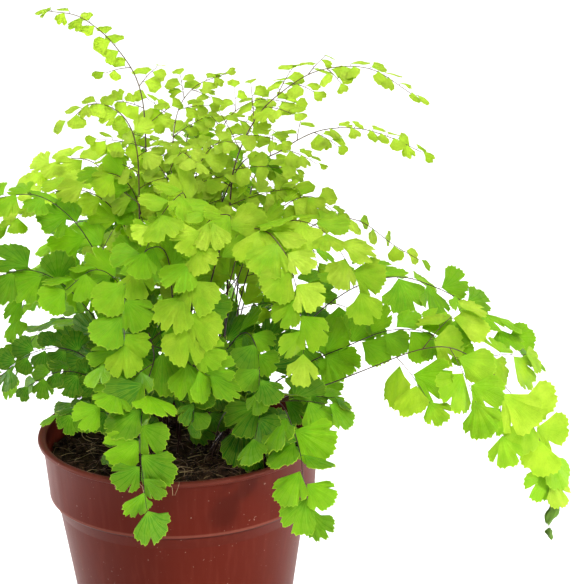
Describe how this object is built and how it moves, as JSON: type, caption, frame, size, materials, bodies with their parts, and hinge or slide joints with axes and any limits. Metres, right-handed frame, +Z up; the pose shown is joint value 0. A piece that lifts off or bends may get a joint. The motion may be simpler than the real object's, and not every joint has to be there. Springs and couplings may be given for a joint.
{
  "type": "potted maidenhair fern",
  "caption": "Maidenhair fern with arching wiry fronds of fan-shaped leaflets, growing in dark soil in a round, tapered plastic nursery pot.",
  "frame": {"origin": "centre of the pot's base, on the surface that it stands on", "axes": "+Z up along the pot's axis; -Y towards the side that the picture was taken from; +X to the picture's right"},
  "size_m": [0.2357, 0.1938, 0.2837],
  "materials": {
    "pot_plastic": "satin moulded plastic, reddish brown",
    "potting_soil": "coarse, fibrous, dark brown potting mix",
    "leaf_young": "thin satin leaf, bright yellow-green, translucent",
    "leaf_green": "thin satin leaf, mid green, translucent",
    "leaf_dark": "thin satin leaf, dark green"
  },
  "bodies": {
    "root": {"pot": "pot_plastic", "soil": "potting_soil", "frond_tall_left": "leaf_young", "frond_tall_left_low": "leaf_young", "frond_tall_middle": "leaf_young", "frond_tall_right": "leaf_young", "frond_tall_right_low": "leaf_young", "frond_wispy_right": "leaf_young", "frond_upper_middle": "leaf_young", "frond_upper_inner": "leaf_young", "frond_upper_back": "leaf_young", "frond_upper_right": "leaf_young", "frond_arch_high": "leaf_green", "frond_arch_main": "leaf_young", "frond_arch_middle": "leaf_green", "frond_front_left": "leaf_green", "frond_front_right": "leaf_young", "frond_front_drape": "leaf_green", "frond_right_drape": "leaf_dark", "frond_low_right": "leaf_dark", "frond_centre_left": "leaf_green", "frond_centre_middle": "leaf_green", "frond_centre_right": "leaf_young", "frond_centre_low": "leaf_dark", "frond_centre_low_left": "leaf_dark", "frond_low_left": "leaf_dark", "frond_low_left_front": "leaf_dark", "frond_rim_left": "leaf_dark", "frond_middle_left": "leaf_dark", "frond_upper_left": "leaf_dark", "frond_pale_left": "leaf_young", "frond_pale_left_low": "leaf_young", "frond_inner_left": "leaf_dark", "frond_inner_left_high": "leaf_green", "frond_back_1": "leaf_dark", "frond_back_2": "leaf_green", "frond_back_3": "leaf_green", "frond_back_4": "leaf_dark", "frond_back_5": "leaf_green", "frond_back_6": "leaf_dark", "frond_back_7": "leaf_green", "frond_back_8": "leaf_dark", "frond_back_9": "leaf_green", "frond_back_10": "leaf_green", "frond_back_11": "leaf_dark", "frond_back_12": "leaf_green", "frond_back_13": "leaf_dark"}
  },
  "joints": []
}
